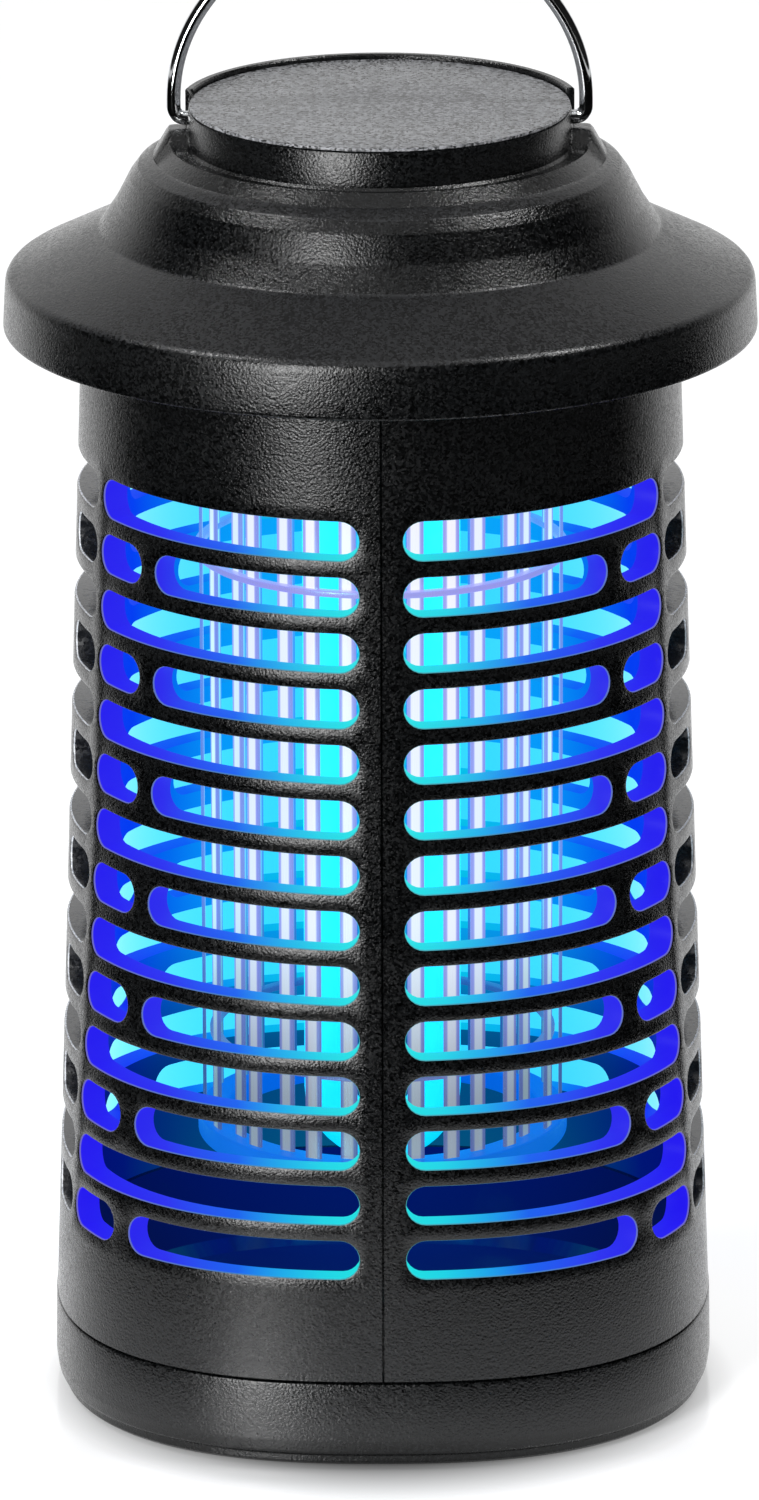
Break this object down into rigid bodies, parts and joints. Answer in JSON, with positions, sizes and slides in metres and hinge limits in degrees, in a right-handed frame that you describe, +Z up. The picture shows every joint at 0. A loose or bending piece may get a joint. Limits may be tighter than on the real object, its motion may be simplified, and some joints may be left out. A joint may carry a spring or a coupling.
{
  "type": "electric bug zapper",
  "caption": "Lantern-shaped electric insect killer: slotted tapered body, UV tube inside a ring of charged strips, wide rain brim, wire bail and a pull-off tray.",
  "frame": {"origin": "bottom centre of the whole object, on the surface the feet stand on", "axes": "+Z up, -Y towards the front seam of the grille, X along the bail pivots"},
  "size_m": [0.175, 0.175, 0.3517],
  "materials": {
    "black_abs": "moulded black ABS with a fine grained texture",
    "grey_abs": "spark-eroded satin grain, lighter than the body",
    "chrome_wire": "polished chrome plating",
    "white_plastic": "plain moulded white",
    "grid_steel": "bright zinc plated strip",
    "uv_glass": "phosphor-coated tube glowing blue",
    "fibreglass": "solder-masked board",
    "ferrite": "dark moulded core and tape",
    "capacitor_coat": "dipped blue coat",
    "black_epoxy": "moulded epoxy",
    "resistor_coat": "lacquered ceramic",
    "screw_steel": "plated",
    "black_rubber": "soft moulded"
  },
  "bodies": {
    "housing": {"cap_shell": "black_abs", "grille_left": "black_abs", "grille_right": "black_abs", "top_disc": "grey_abs", "chamber_ceiling": "white_plastic", "grid_insulator_top": "white_plastic", "grid_insulator_bottom": "white_plastic", "lamp_holder": "white_plastic", "lamp_base": "white_plastic", "grid_live": "grid_steel", "grid_return": "grid_steel", "uv_lamp": "uv_glass", "circuit_board": "fibreglass", "hv_transformer": "ferrite", "ballast_choke": "ferrite", "hv_capacitor_1": "capacitor_coat", "hv_capacitor_2": "capacitor_coat", "hv_capacitor_3": "capacitor_coat", "hv_capacitor_4": "capacitor_coat", "hv_diode_1": "black_epoxy", "hv_diode_2": "black_epoxy", "hv_diode_3": "black_epoxy", "hv_diode_4": "black_epoxy", "bleed_resistor_1": "resistor_coat", "bleed_resistor_2": "resistor_coat", "fuse": "resistor_coat", "board_screw_1": "screw_steel", "board_screw_2": "screw_steel", "board_screw_3": "screw_steel", "board_screw_4": "screw_steel", "ceiling_screw_1": "screw_steel", "ceiling_screw_2": "screw_steel", "ceiling_screw_3": "screw_steel", "ceiling_screw_4": "screw_steel", "cord_gland": "black_rubber"},
    "bail": {"bail_handle": "chrome_wire"},
    "tray": {"collection_tray": "black_abs", "foot_1": "black_rubber", "foot_2": "black_rubber", "foot_3": "black_rubber", "foot_4": "black_rubber"}
  },
  "joints": [
    {"name": "bail_swing", "type": "hinge", "parent": "housing", "child": "bail", "pos_m": [0, 0, 0.3035], "axis": [1, 0, 0], "range_deg": [-60, 94]},
    {"name": "tray_pull", "type": "slide", "parent": "housing", "child": "tray", "axis": [0, 0, -1], "range_m": [0, 0.035]}
  ]
}
